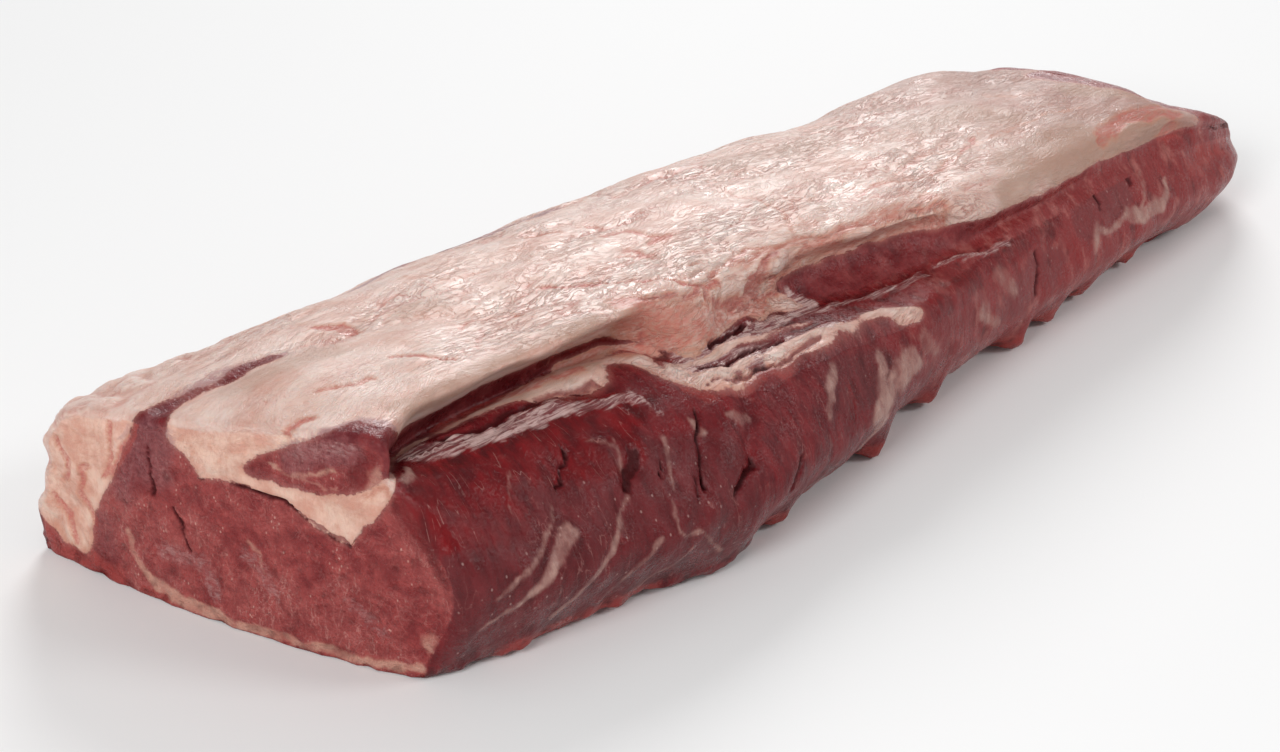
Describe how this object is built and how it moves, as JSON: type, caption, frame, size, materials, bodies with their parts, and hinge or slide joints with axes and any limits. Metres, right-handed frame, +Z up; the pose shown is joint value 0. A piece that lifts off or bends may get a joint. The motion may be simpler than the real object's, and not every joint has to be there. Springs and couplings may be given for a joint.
{
  "type": "raw boneless beef striploin joint",
  "caption": "Long raw boneless beef striploin lying flat, with a thick fat cap on top, a layered side and an open cut face at its broad end.",
  "frame": {"origin": "centre of the bounding box in X and Y, at the underside", "axes": "+X along the length from the broad cut face to the tapered tip, +Y to the side where the fat cap runs down, +Z up out of the fat cap"},
  "size_m": [0.5212, 0.1858, 0.0841],
  "materials": {
    "cap_fat": "moist creamy pink fat",
    "strip_lean": "wet dark red lean meat",
    "seam_fat": "moist cream fat",
    "ledge_fat": "moist cream fat",
    "lean": "wet red lean meat with fine marbling and thin membranes"
  },
  "bodies": {
    "root": {"fat_cap": "cap_fat", "cap_muscle": "strip_lean", "seam_fat": "seam_fat", "ledge_fat": "ledge_fat", "eye_muscle": "lean"}
  },
  "joints": []
}
